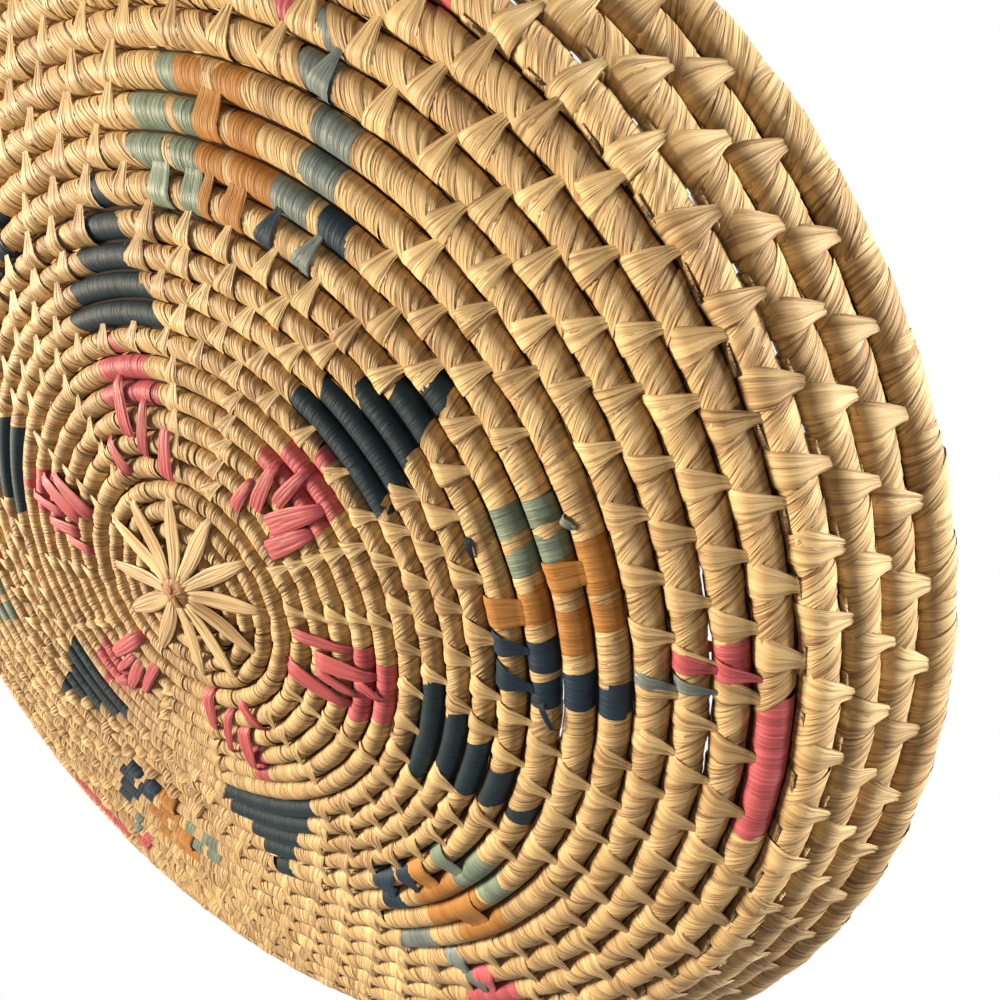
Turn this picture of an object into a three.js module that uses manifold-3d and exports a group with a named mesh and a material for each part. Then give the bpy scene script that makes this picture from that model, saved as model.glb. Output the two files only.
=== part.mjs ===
// A round coiled basket tray, standing on its base. Millimetres, X and Y across, Z up.
// One coil of wrapped grass winds from the middle of the base out to the rim, in four lengths end to end:
// a thin one for the centre, a thicker one for the rest of the base, the wall and the rim.
// Its rows are counted from the middle.
import * as THREE from 'three';
import { mergeVertices } from 'three/addons/utils/BufferGeometryUtils.js';
import Module from 'manifold-3d';

const wasm = await Module();
wasm.setup();

// Rows of the coil and the width that each takes up
const STAR_ROWS = 5;
const INNER_ROWS = 10;
const OUTER_ROWS = 9;
const WALL_ROWS = 2;
const RIM_ROWS = 1;
const STAR_PITCH = 6.0;
const INNER_PITCH = 6.7;
const OUTER_PITCH = 8.0;
const FIRST_ROW = 2;
const ROW_MIDDLE = 0.5;

// The base bellies down in the middle, and the wall leans out more and more towards the rim
const BELLY = 11.6;
const WALL_LEAN = 48;
const RIM_LEAN = 25;
const WALL_BEND_ROWS = 1.5;
const PROFILE_STEP = 0.02;

// The coil's section
const STEPS = 24;
const SIDES = 6;
const ROW_GAP = 0.55;
const SHOULDER = 0.3;
const RIM_TAPER = 30;
const RIM_TIP = 0.5;

// Strips wound or laid on the coil
const CLEARANCE = 0.3;
const WRAP = 0.7;
const TIE_WIDTH = 3.0;
const TIE_HEIGHT = 1.2;

// The star of strips under the middle
const STAR_STRIPS = 12;
const STRIP_THICKNESS = 1.0;
const STAR_HUB = 3.5;
const STRIP_END_WIDTH = 3.6;
const STRIP_MIDDLE_WIDTH = 6.4;
const STRIP_GAP = 0.5;
const KNOT_SIDES = 12;
const KNOT_HEIGHT = 7.0;

// The dyed motifs: first row, angles along the coil from there, and lengths of coil that they cover
const MOTIF_ANGLES = [77, 139, 200, 263, 319.5, 375];
const PETAL_ROW = 5.2;
const PETAL_ROWS = 4.6;
const PETAL_STRAPS = 4;
const PETAL_STRAP_WIDTH = 4.2;
const PETAL_THICKNESS = 0.8;
const PETAL_FOOT_SPACING = 7.0;
const PETAL_OVERLAP = 0.8;
const WEDGE_ROW = 11;
const WEDGE_LENGTHS = [33, 29, 20];
const BAR_ANGLES = [-14, 43, 109, 170, 229, 288];
const BAR_ROW = 16;
const BAR_ROWS = 2;
const BAR_LENGTH = 14.5;
const BAR_COLOURS = ['sage', 'orange', 'navy'];
const BAND_ROW = 22;
const BAND_OFFSETS = [15, 17, 15, 15, 15, 7];
const BAND_LENGTH = 35;

const material = (color) => new THREE.MeshStandardMaterial({ color, roughness: 0.75, metalness: 0 });
const STRAW = material(0xd0aa6c);
const DYES = {
  pink: material(0xb9555f),
  teal: material(0x33494b),
  navy: material(0x2b3950),
  orange: material(0xb06f33),
  sage: material(0x839a88),
};

const CENTRE_ROWS = STAR_ROWS + INNER_ROWS;
const BASE_ROWS = CENTRE_ROWS + OUTER_ROWS;
const WALL_FOOT = BASE_ROWS - 1;
const WALL_END = BASE_ROWS + WALL_ROWS;
const RIM_END = WALL_END + RIM_ROWS;

// Distance of a row's edge from the axis, on the base
function baseRadius(row) {
  const star = Math.min(row, STAR_ROWS);
  const inner = Math.min(Math.max(row - STAR_ROWS, 0), INNER_ROWS);
  const outer = Math.max(row - CENTRE_ROWS, 0);
  return star * STAR_PITCH + inner * INNER_PITCH + outer * OUTER_PITCH;
}

const BASE_RADIUS = baseRadius(BASE_ROWS);
const baseRise = (radius) => BELLY * (radius / BASE_RADIUS) ** 2;
const baseLean = (radius) => Math.atan(2 * BELLY * radius / BASE_RADIUS ** 2);

// Slope of the wall: it bends up from the base, then flattens towards the rim
function wallLean(row) {
  const foot = baseLean(baseRadius(WALL_FOOT));
  const wall = THREE.MathUtils.degToRad(WALL_LEAN);
  const rim = THREE.MathUtils.degToRad(RIM_LEAN);
  const bendEnd = WALL_FOOT + WALL_BEND_ROWS;
  if (row < bendEnd) return THREE.MathUtils.mapLinear(row, WALL_FOOT, bendEnd, foot, wall);
  return THREE.MathUtils.mapLinear(row, bendEnd, RIM_END, wall, rim);
}

// Radius, height and slope of the tray's middle surface at a row
function profile(row) {
  if (row <= WALL_FOOT) {
    const radius = baseRadius(row);
    return { radius, height: baseRise(radius), lean: baseLean(radius) };
  }
  const point = profile(WALL_FOOT);
  const count = Math.ceil((row - WALL_FOOT) / PROFILE_STEP);
  const step = (row - WALL_FOOT) / count;
  for (let i = 0; i < count; i += 1) {
    const lean = wallLean(WALL_FOOT + (i + 0.5) * step);
    point.radius += OUTER_PITCH * step * Math.cos(lean);
    point.height += OUTER_PITCH * step * Math.sin(lean);
  }
  point.lean = wallLean(row);
  return point;
}

// Half the room that a row has between its neighbours, less the gap
function coilRadius(row) {
  const here = profile(row);
  const reach = [row - 1, row + 1].map((other) => {
    const next = profile(other);
    return Math.hypot(next.radius - here.radius, next.height - here.height);
  });
  return (Math.min(...reach) - ROW_GAP) / 2;
}

// The coil's section at a whole step: centre, the two directions across it, and its radius
const stepCache = new Map();
function stepSection(index) {
  if (!stepCache.has(index)) {
    const turn = index / STEPS;
    const row = turn + ROW_MIDDLE;
    const { radius, height, lean } = profile(row);
    const angle = 2 * Math.PI * turn;
    const away = new THREE.Vector3(Math.cos(angle), Math.sin(angle), 0);
    const up = new THREE.Vector3(0, 0, 1);
    stepCache.set(index, {
      centre: away.clone().multiplyScalar(radius).addScaledVector(up, height),
      across: away.clone().multiplyScalar(Math.cos(lean)).addScaledVector(up, Math.sin(lean)),
      over: away.clone().multiplyScalar(-Math.sin(lean)).addScaledVector(up, Math.cos(lean)),
      radius: coilRadius(row),
    });
  }
  return stepCache.get(index);
}

// The same section anywhere along the straight run between two steps
function section(turn) {
  const index = Math.floor(turn * STEPS);
  const part = turn * STEPS - index;
  const from = stepSection(index);
  const to = stepSection(index + 1);
  return {
    centre: from.centre.clone().lerp(to.centre, part),
    across: from.across.clone().lerp(to.across, part),
    over: from.over.clone().lerp(to.over, part),
    radius: THREE.MathUtils.lerp(from.radius, to.radius, part),
  };
}

// Corners of the section, moved in towards the row before by a shift
function ring(turn, radius, shift = 0) {
  const { centre, across, over } = section(turn);
  return Array.from({ length: SIDES }, (_, side) => {
    const angle = 2 * Math.PI * side / SIDES;
    return centre.clone()
      .addScaledVector(across, radius * Math.cos(angle) - shift)
      .addScaledVector(over, radius * Math.sin(angle));
  });
}

// Skin through rings of points, capped at both ends or closed on itself
function loft(rings, closed) {
  const points = rings.flat();
  const index = [];
  const spans = closed ? rings.length : rings.length - 1;
  for (let i = 0; i < spans; i += 1) {
    for (let side = 0; side < SIDES; side += 1) {
      const next = (side + 1) % SIDES;
      const a = i * SIDES + side;
      const b = i * SIDES + next;
      const c = ((i + 1) % rings.length) * SIDES + next;
      const d = ((i + 1) % rings.length) * SIDES + side;
      index.push(a, c, b, a, d, c);
    }
  }
  const last = (rings.length - 1) * SIDES;
  for (let side = 1; !closed && side < SIDES - 1; side += 1) {
    index.push(0, side, side + 1, last, last + side + 1, last + side);
  }
  const geometry = new THREE.BufferGeometry().setFromPoints(points);
  geometry.setIndex(index);
  return geometry;
}

function toSolid(geometry) {
  const bare = geometry.clone();
  bare.deleteAttribute('normal');
  bare.deleteAttribute('uv');
  const merged = mergeVertices(bare);
  return new wasm.Manifold(new wasm.Mesh({
    numProp: 3,
    vertProperties: new Float32Array(merged.attributes.position.array),
    triVerts: new Uint32Array(merged.index.array),
  }));
}

function join(geometries) {
  const whole = geometries.map(toSolid).reduce((sum, solid) => sum.add(solid)).getMesh();
  const geometry = new THREE.BufferGeometry();
  geometry.setAttribute('position', new THREE.BufferAttribute(whole.vertProperties, whole.numProp));
  geometry.setIndex(new THREE.BufferAttribute(whole.triVerts, 1));
  return geometry;
}

// Turns that a length of coil takes at a turn
const turnsFor = (length, turn) => {
  const { centre } = section(turn);
  return length / (2 * Math.PI * Math.hypot(centre.x, centre.y));
};

// Stretch of coil, from and to in turns, centred a length along from a turn
function stretch(turn, length, offset = 0) {
  const middle = turn + turnsFor(offset, turn);
  const half = turnsFor(length, turn) / 2;
  return { from: middle - half, to: middle + half };
}

const motifTurn = (row, angle) => row + angle / 360;
const neckRadius = (turn) => section(turn).radius - WRAP - CLEARANCE;
const tray = new THREE.Group();

function addMesh(name, geometry, look) {
  const mesh = new THREE.Mesh(geometry, look);
  mesh.name = name;
  tray.add(mesh);
  return mesh;
}

// Steps of the coil from one turn to another, drawn in to a neck wherever a dyed strip is wound on it
function coilStops(from, to, necks) {
  const stops = [from];
  for (let i = Math.floor(from * STEPS) + 1; i < to * STEPS; i += 1) stops.push(i / STEPS);
  stops.push(to);
  let list = stops.map((turn) => ({ turn, neck: false }));
  for (const { from: start, to: end } of necks) {
    const edge = turnsFor(SHOULDER, start);
    list = list.filter(({ turn }) => Math.abs(turn - start) > 2 * edge && Math.abs(turn - end) > 2 * edge);
    list.forEach((stop) => { stop.neck ||= stop.turn > start && stop.turn < end; });
    list.push({ turn: start, neck: false }, { turn: start + edge, neck: true });
    list.push({ turn: end - edge, neck: true }, { turn: end, neck: false });
  }
  return list.sort((a, b) => a.turn - b.turn);
}

function coilGeometry(from, to, necks, swell = () => 1) {
  const stops = coilStops(from, to, necks);
  return loft(stops.map(({ turn, neck }) => {
    const radius = neck ? neckRadius(turn) : section(turn).radius;
    return ring(turn, radius * swell(turn), radius * (1 - swell(turn)));
  }), false);
}

// Least distance between each turn of the coil and the next, taken on the corners of its sections
function leastRowGap(from, to) {
  let least = Infinity;
  for (let i = Math.ceil(from * STEPS); i + STEPS <= to * STEPS; i += 1) {
    const here = ring(i / STEPS, stepSection(i).radius);
    const next = ring(i / STEPS + 1, stepSection(i + STEPS).radius);
    here.forEach((a) => next.forEach((b) => { least = Math.min(least, a.distanceTo(b)); }));
  }
  return least;
}

// A dyed strip wound on a neck of the coil: a sleeve flush with the natural coil beside it
function sleeve({ from, to }) {
  const slack = turnsFor(SHOULDER + CLEARANCE, from);
  const stops = coilStops(from + slack, to - slack, []).map(({ turn }) => turn);
  const outer = stops.map((turn) => ring(turn, section(turn).radius));
  const inner = stops.map((turn) => ring(turn, neckRadius(turn) + CLEARANCE));
  return loft([...outer, ...inner.reverse()], true);
}

// The strip's crossing from the sleeve on one row to the sleeve on the next
function tie(turn) {
  const inner = section(turn);
  const outer = section(turn + 1);
  const start = inner.centre.clone().addScaledVector(inner.across, inner.radius - WRAP / 2);
  const end = outer.centre.clone().addScaledVector(outer.across, WRAP / 2 - outer.radius);
  const length = start.distanceTo(end);
  const across = end.clone().sub(start).normalize();
  const along = new THREE.Vector3().crossVectors(inner.over, across).normalize();
  const over = new THREE.Vector3().crossVectors(across, along);
  const geometry = new THREE.BoxGeometry(length, TIE_WIDTH, TIE_HEIGHT);
  const place = new THREE.Matrix4().makeBasis(across, along, over);
  place.setPosition(start.add(end).multiplyScalar(0.5));
  return geometry.applyMatrix4(place);
}

const ties = (turn, rows) => Array.from({ length: rows - 1 }, (_, row) => tie(turn + row));

// The wedges: dyed rows that grow shorter outward
const wedges = MOTIF_ANGLES.map((angle) => {
  const turn = motifTurn(WEDGE_ROW, angle);
  return { turn, necks: WEDGE_LENGTHS.map((length, row) => stretch(turn + row, length)) };
});

// The bars: three dyes side by side in one neck, on two rows
const bars = BAR_ANGLES.map((angle) => {
  const turn = motifTurn(BAR_ROW, angle);
  const rows = Array.from({ length: BAR_ROWS }, (_, row) => turn + row);
  const room = BAR_LENGTH * BAR_COLOURS.length;
  return { turn, rows, necks: rows.map((row) => stretch(row, room)) };
});

const bands = BAR_ANGLES.map((angle, motif) => {
  return stretch(motifTurn(BAND_ROW, angle + BAND_OFFSETS[motif]), BAND_LENGTH);
});
const allNecks = [...wedges.flatMap((w) => w.necks), ...bars.flatMap((b) => b.necks), ...bands];

// Turn at which the coil has wound so many rows
const turnAt = (row) => row - ROW_MIDDLE;

// The rim's end is drawn down to a tip against the row before
function rimSwell(turn) {
  const end = turnAt(RIM_END);
  const start = end - RIM_TAPER / 360;
  return THREE.MathUtils.mapLinear(Math.max(turn, start), start, end, 1, RIM_TIP);
}

// A length of the coil between two rows, clear of the lengths that it butts on
function addCoil(name, fromRow, toRow, necks, swell) {
  const [from, to] = [turnAt(fromRow), turnAt(toRow)];
  const butt = CLEARANCE / 2;
  const geometry = coilGeometry(from + turnsFor(butt, from), to - turnsFor(butt, to), necks, swell);
  addMesh(name, geometry, STRAW);
}

function addCoils() {
  const within = (fromRow, toRow) => allNecks.filter(({ from, to }) => (
    from > turnAt(fromRow) && to < turnAt(toRow)
  ));
  addCoil('centre_coil', FIRST_ROW, CENTRE_ROWS, within(FIRST_ROW, CENTRE_ROWS));
  addCoil('base_coil', CENTRE_ROWS, BASE_ROWS, within(CENTRE_ROWS, BASE_ROWS));
  addCoil('wall_coil', BASE_ROWS, WALL_END, []);
  addCoil('rim_coil', WALL_END, RIM_END, [], rimSwell);
  const least = leastRowGap(turnAt(FIRST_ROW), turnAt(RIM_END));
  console.log(`least gap between turns of the coil: ${least.toFixed(2)} mm`);
}

// Height of the coil's lower faces under the middle of a row
function underside(row) {
  const { height } = profile(row);
  return height - coilRadius(row) * Math.cos(Math.PI / SIDES);
}

// The start of the coil, wound into a knot that fills its first turn
function addKnot() {
  const first = section(turnAt(FIRST_ROW));
  const radius = Math.hypot(first.centre.x, first.centre.y) - first.radius - CLEARANCE;
  const geometry = new THREE.CylinderGeometry(radius, radius, KNOT_HEIGHT, KNOT_SIDES);
  const knot = addMesh('start_knot', geometry.rotateX(Math.PI / 2), STRAW);
  knot.position.z = underside(FIRST_ROW) + KNOT_HEIGHT / 2;
}

// Flat strips that fan out from the middle, under the first rows
function addStar() {
  const seat = underside(FIRST_ROW) - CLEARANCE;
  const sector = 2 * Math.PI / STAR_STRIPS;
  const end = baseRadius(STAR_ROWS);
  const middle = (STAR_HUB + end) / 2;
  const foot = STAR_HUB * Math.tan(sector / 2) - STRIP_GAP / 2;
  const outline = [
    [STAR_HUB, -foot], [middle, -STRIP_MIDDLE_WIDTH / 2], [end, -STRIP_END_WIDTH / 2],
    [end, STRIP_END_WIDTH / 2], [middle, STRIP_MIDDLE_WIDTH / 2], [STAR_HUB, foot],
  ].map(([x, y]) => new THREE.Vector2(x, y));
  for (let i = 0; i < STAR_STRIPS; i += 1) {
    const flat = { depth: STRIP_THICKNESS, bevelEnabled: false };
    const geometry = new THREE.ExtrudeGeometry(new THREE.Shape(outline), flat);
    const strip = addMesh(`star_strip_${i + 1}`, geometry, STRAW);
    strip.rotation.z = i * sector;
    strip.position.z = seat - STRIP_THICKNESS;
  }
}

// Long pink stitches laid over the rows outside the star, closer together at their outer ends
function petalGeometry(turn) {
  const foot = baseRadius(turn);
  const head = baseRadius(turn + PETAL_ROWS);
  const drop = PETAL_THICKNESS / 2 + CLEARANCE;
  const heights = [turn, turn + PETAL_ROWS].map((row) => underside(row) - drop);
  const headSpacing = PETAL_STRAP_WIDTH - PETAL_OVERLAP;
  const straps = Array.from({ length: PETAL_STRAPS }, (_, i) => {
    const place = i - (PETAL_STRAPS - 1) / 2;
    const start = new THREE.Vector3(foot, place * PETAL_FOOT_SPACING, heights[0]);
    const end = new THREE.Vector3(head, place * headSpacing, heights[1]);
    const along = end.clone().sub(start);
    const box = new THREE.BoxGeometry(along.length(), PETAL_STRAP_WIDTH, PETAL_THICKNESS);
    const side = new THREE.Vector3(0, 0, 1).cross(along).normalize();
    const over = along.clone().cross(side).normalize();
    const pose = new THREE.Matrix4().makeBasis(along.clone().normalize(), side, over);
    pose.setPosition(start.add(end).multiplyScalar(0.5));
    return box.applyMatrix4(pose);
  });
  return join(straps);
}

function addPetals() {
  MOTIF_ANGLES.forEach((angle, i) => {
    const petal = addMesh(`pink_petal_${i + 1}`, petalGeometry(motifTurn(PETAL_ROW, angle)), DYES.pink);
    petal.rotation.z = THREE.MathUtils.degToRad(angle);
  });
}

function addWedges() {
  wedges.forEach(({ turn, necks }, i) => {
    const geometry = join([...necks.map(sleeve), ...ties(turn, necks.length)]);
    addMesh(`teal_wedge_${i + 1}`, geometry, DYES.teal);
  });
}

function addBars() {
  bars.forEach(({ turn, rows }, i) => {
    BAR_COLOURS.forEach((dye, place) => {
      const offset = (place - (BAR_COLOURS.length - 1) / 2) * BAR_LENGTH;
      const sleeves = rows.map((row) => sleeve(stretch(row, BAR_LENGTH, offset)));
      const crossing = ties(turn + turnsFor(offset, turn), rows.length);
      addMesh(`${dye}_bar_${i + 1}`, join([...sleeves, ...crossing]), DYES[dye]);
    });
  });
}

function addBands() {
  bands.forEach((neck, i) => addMesh(`pink_band_${i + 1}`, sleeve(neck), DYES.pink));
}

addCoils();
addKnot();
addStar();
addPetals();
addWedges();
addBars();
addBands();

// The tray stands on its lowest face, centred on the axis through the middle of its outline
const outline = new THREE.Box3().setFromObject(tray);
const middle = outline.getCenter(new THREE.Vector3());
tray.position.set(-middle.x, -middle.y, -outline.min.z);

export default tray;
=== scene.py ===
# %% [markdown]
# # A coiled basket tray
# The tray is one long coil of grass stems, wrapped in strips of palm leaf. It winds out from the middle,
# and at every few wraps a long stitch ties a row to the next one. Dyed strips make the pattern.
# The solids of the frame hold the tray's shape and size, and this file dresses them with the strips.

# %% The frame
import math

import bpy
import numpy as np
from mathutils import Matrix, Vector


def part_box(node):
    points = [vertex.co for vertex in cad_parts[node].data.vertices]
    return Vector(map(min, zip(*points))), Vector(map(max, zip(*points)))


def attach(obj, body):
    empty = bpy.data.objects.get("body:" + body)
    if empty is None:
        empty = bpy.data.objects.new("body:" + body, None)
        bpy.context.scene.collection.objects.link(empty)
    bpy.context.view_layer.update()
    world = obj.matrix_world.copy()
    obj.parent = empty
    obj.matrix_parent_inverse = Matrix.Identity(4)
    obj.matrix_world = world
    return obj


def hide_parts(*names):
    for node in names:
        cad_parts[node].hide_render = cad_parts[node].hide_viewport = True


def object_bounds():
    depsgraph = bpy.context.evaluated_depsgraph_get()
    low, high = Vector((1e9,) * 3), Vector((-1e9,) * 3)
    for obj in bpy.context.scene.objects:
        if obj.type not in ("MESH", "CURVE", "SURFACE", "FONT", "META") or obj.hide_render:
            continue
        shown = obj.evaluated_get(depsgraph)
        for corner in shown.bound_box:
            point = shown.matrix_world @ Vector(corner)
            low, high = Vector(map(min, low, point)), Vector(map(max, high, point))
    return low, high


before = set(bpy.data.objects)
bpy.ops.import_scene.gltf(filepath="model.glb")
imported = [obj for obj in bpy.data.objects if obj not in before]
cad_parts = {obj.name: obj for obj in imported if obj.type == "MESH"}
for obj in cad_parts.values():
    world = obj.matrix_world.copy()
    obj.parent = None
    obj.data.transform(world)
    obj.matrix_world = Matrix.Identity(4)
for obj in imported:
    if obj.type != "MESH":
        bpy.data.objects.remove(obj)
cad_low, cad_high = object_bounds()
MM = 0.001


def sides(low, high):
    """Lengths of a box's sides in millimetres."""
    return [round(side / MM, 1) for side in high - low]


print("frame:", len(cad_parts), "solids,", sides(cad_low, cad_high), "mm")

# %% [markdown]
# ## The camera
# The tray is seen from below and from close by, so that its near wall is much larger than its far side.
# A real lens of this angle is a wide one, held about 23 cm from the middle of the base.
# It could be placed by eye. Here it was fitted to the rows that the photograph shows, so that both line up.
# The eye and its two directions are given from the middle of the base, where the coil starts.

# %% The camera
knot_low, knot_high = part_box("start_knot")
AXIS = Vector(((knot_low.x + knot_high.x) / 2, (knot_low.y + knot_high.y) / 2, knot_low.z))
EYE = Vector((164.6, -110.2, -121.2)) * MM
FORWARD = Vector((-0.4279, 0.3995, 0.8107))
RIGHT = Vector((0.8844, 0.0, 0.4668))
LENS_PX = 750
FRAME_PX = 1000
SENSOR = 36.0
NEAREST = 5 * MM


def add_camera():
    data = bpy.data.cameras.new("photo_view")
    data.sensor_width = SENSOR
    data.lens = SENSOR * LENS_PX / FRAME_PX
    data.clip_start = NEAREST
    camera = bpy.data.objects.new("photo_view", data)
    up = RIGHT.cross(FORWARD)
    turn = Matrix((RIGHT, up, -FORWARD)).transposed()
    camera.matrix_world = Matrix.Translation(AXIS + EYE) @ turn.to_4x4()
    bpy.context.scene.collection.objects.link(camera)
    bpy.context.scene.camera = camera
    return camera


camera = add_camera()
print("camera:", round((camera.location - AXIS).length / MM), "mm from the middle of the base")

# %% [markdown]
# ## The coil as a path
# Every strip needs to know where the coil is, which way it runs, and which way is up out of the tray.
# One function answers that for any turn of the spiral, with the same row widths as the solids:
# a flat spiral that bellies down in the middle, then bends up into the wall and flattens again at the rim.
# The path could also be read off the solids, but a formula gives exact directions at any place.

# %% The coil as a path
STAR_ROWS = 5
CENTRE_ROWS = 15
BASE_ROWS = 24
WALL_END = 26
RIM_END = 27
FIRST_ROW = 2
ROW_MIDDLE = 0.5
STAR_PITCH = 6.0 * MM
INNER_PITCH = 6.7 * MM
OUTER_PITCH = 8.0 * MM
ROW_GAP = 0.55 * MM
BELLY = 11.6 * MM
WALL_FOOT = BASE_ROWS - 1
WALL_BEND_ROWS = 1.5
WALL_LEAN = math.radians(48)
RIM_LEAN = math.radians(25)


def base_radius(row):
    """Distance of a row of the base from the middle, with rows of three widths."""
    star = STAR_PITCH * np.minimum(row, STAR_ROWS)
    inner = INNER_PITCH * np.clip(row - STAR_ROWS, 0, CENTRE_ROWS - STAR_ROWS)
    return star + inner + OUTER_PITCH * np.maximum(row - CENTRE_ROWS, 0)


BASE_RADIUS = base_radius(BASE_ROWS)


def base_lean(row):
    """Slope of the belly at a row."""
    return np.arctan(2 * BELLY * base_radius(row) / BASE_RADIUS ** 2)


def lean(row):
    """Slope of the tray at a row: the belly, the bend into the wall and the flare of the rim."""
    bend = [WALL_FOOT, WALL_FOOT + WALL_BEND_ROWS, RIM_END]
    wall = np.interp(row, bend, [base_lean(WALL_FOOT), WALL_LEAN, RIM_LEAN])
    return np.where(row <= WALL_FOOT, base_lean(row), wall)


ROW_STEP = 0.01
SPARE_ROWS = 1.5
ROWS = np.arange(0, RIM_END + SPARE_ROWS, ROW_STEP)
on_wall = ROWS > WALL_FOOT
foot_radius = base_radius(WALL_FOOT)
foot_height = BELLY * (foot_radius / BASE_RADIUS) ** 2
outward = np.cumsum(np.where(on_wall, np.cos(lean(ROWS - ROW_STEP / 2)), 0)) * OUTER_PITCH * ROW_STEP
upward = np.cumsum(np.where(on_wall, np.sin(lean(ROWS - ROW_STEP / 2)), 0)) * OUTER_PITCH * ROW_STEP
RADII = np.where(on_wall, foot_radius + outward, base_radius(ROWS))
HEIGHTS = np.where(on_wall, foot_height + upward, BELLY * (base_radius(ROWS) / BASE_RADIUS) ** 2)
UP = np.array([0.0, 0.0, 1.0])


def girth(turn):
    """Radius of the coil: half the room between its neighbours, less the gap."""
    row = np.asarray(turn, float) + ROW_MIDDLE
    radius, height = np.interp(row, ROWS, RADII), np.interp(row, ROWS, HEIGHTS)
    room = [
        np.hypot(np.interp(row + step, ROWS, RADII) - radius, np.interp(row + step, ROWS, HEIGHTS) - height)
        for step in (-1, 1)
    ]
    return (np.minimum(*room) - ROW_GAP) / 2


# The knot's lower face is level with the underside of the coil's first row
HEX_FLAT = math.cos(math.pi / 6)
MIDDLE = np.array(AXIS)
MIDDLE[2] += girth(FIRST_ROW - ROW_MIDDLE) * HEX_FLAT - np.interp(FIRST_ROW, ROWS, HEIGHTS)


def coil(turn):
    """Middle of the coil at a turn, with the ways along it and up out of the tray."""
    turn = np.asarray(turn, float)
    row = turn + ROW_MIDDLE
    angle = 2 * np.pi * turn
    slope = lean(row)[..., None]
    away = np.stack([np.cos(angle), np.sin(angle), 0 * angle], -1)
    along = np.stack([-np.sin(angle), np.cos(angle), 0 * angle], -1)
    height = np.interp(row, ROWS, HEIGHTS)[..., None]
    centre = MIDDLE + away * np.interp(row, ROWS, RADII)[..., None] + UP * height
    over = UP * np.cos(slope) - away * np.sin(slope)
    return centre, along, over


def coil_radius(turn):
    """Distance of the coil from the middle, seen from above."""
    return np.interp(np.asarray(turn, float) + ROW_MIDDLE, ROWS, RADII)


print("coil: rim at", round(float(coil_radius(RIM_END - 1) / MM), 1), "mm from the middle")

# %% [markdown]
# ## Dyed rows
# Dyed strips replace the natural wrapping over short lengths of the coil. They were read off the photograph
# as rows and angles: the row is counted from the middle, the angle clockwise from +X, seen from above.
# Each entry is a row of the motif with the angles where the dye starts and ends, from the motif's middle.
# Motifs that are out of sight repeat the ones in sight. The dye could be painted on the coil, but separate
# strips have edges and folds of their own, as the real ones do.

# %% Dyed rows
PETAL_ANGLES = [-77, -139, -200, -263, -319.5, -375]
PETAL_ROW = 11
BAR_ANGLES = [14, -43, -109, -170, -229, -288]
BAR_ROW = 15
BAR_ROWS = 4
BAR_REACH = (-17, 16)

WEDGE = {
    "teal": [(0, -12, 13), (1, -10, 10), (2, -7, 6), (3, -5, 2), (4, -4, -1)],
    "pink": [(-3, -9, 12), (-2, -6, 9), (-1, 1, 3)],
}
LEFT_WEDGE = {
    "teal": [(0, -15, 16), (1, -13, 12), (2, -8, 6), (3, -6, 2), (4, -4, 0)],
    "pink": [(-3, 3, 9), (-2, 1, 6.5)],
}
UPPER_WEDGE = {
    "teal": [(0, -11, 13), (1, -9, 10), (2, -6, 6), (3, -4, 2.5), (4, -2.5, 0.5)],
    "pink": [(-3, -9.5, 13), (-2, -7, 9), (-1, 1.5, 3.5)],
}
NEAR_WEDGE = {
    "teal": [(0, -10, 13), (1, -7, 8.5), (2, -6.5, 5), (3, -6.5, 1.5), (4, -5, -2.5)],
    "pink": [(-3, -6, 16), (-2, -2, 13)],
}
NEAR_BARS = {
    "navy": [(1, -14, -10.5), (1, -9, -5.5), (2, -13, -9), (3, -13, -9.5)],
    "orange": [(1, -3, 1.4), (2, -6, -1.5), (2, 1, 4.5), (3, -3, 0), (3, 1, 6)],
    "sage": [(1, 3.5, 6), (1, 8, 11.2), (2, 4.8, 7.2), (2, 8.7, 10.9)],
    "pink": [(6, -8, -4), (7, -21.5, -8.5)],
}
UPPER_BARS = {
    "navy": [(1, -15, -11.5)],
    "slate": [(1, -9.5, -5), (2, -11.5, -7.5), (3, -11.5, -7.5), (4, -8, -4.5), (5, -7, -5)],
    "orange": [(1, -4.5, 0.5), (1, 2, 5.5), (2, -1.5, 1.5), (2, 3, 6), (3, 1, 4), (3, 6, 9)],
    "sage": [(1, 5.5, 9.5), (1, 11, 16), (2, 6, 8.5), (2, 10.5, 15), (3, 9, 11)],
    "pink": [(5, -3, -1), (7, -13.5, -0.5)],
}
LOWER_BARS = {
    "navy": [(1, -14, -10)],
    "slate": [(3, -17, -10)],
    "orange": [(1, -6, 3), (2, -7, 4), (3, -4, 5)],
    "sage": [(1, 4, 12), (2, 5.5, 10.5)],
    "pink": [(5, -9, -5), (6, -13, -4), (7, -20, -14)],
}


def turn_of(row, angle):
    """Turn of the coil at a row and an angle."""
    return row - angle / 360


def spans_of(motif, row, angle):
    """Lengths of coil that a motif covers: dye, first turn and last turn."""
    return [
        (dye, turn_of(row + up, angle + end), turn_of(row + up, angle + start))
        for dye, rows in motif.items()
        for up, start, end in rows
    ]


WEDGE_MOTIFS = [LEFT_WEDGE, WEDGE, WEDGE, WEDGE, UPPER_WEDGE, NEAR_WEDGE]
BAR_MOTIFS = [NEAR_BARS, LOWER_BARS, NEAR_BARS, NEAR_BARS, NEAR_BARS, UPPER_BARS]
WEDGES = [spans_of(motif, PETAL_ROW, angle) for motif, angle in zip(WEDGE_MOTIFS, PETAL_ANGLES)]
BARS = [spans_of(motif, BAR_ROW, angle) for motif, angle in zip(BAR_MOTIFS, BAR_ANGLES)]
DYED = [(start, end) for motif in WEDGES + BARS for _, start, end in motif]


def within(turn, spans):
    """Whether each turn lies in one of the spans."""
    return np.any([(turn > start) & (turn < end) for start, end in spans], axis=0)


print("dyed lengths of coil:", len(DYED))

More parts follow.
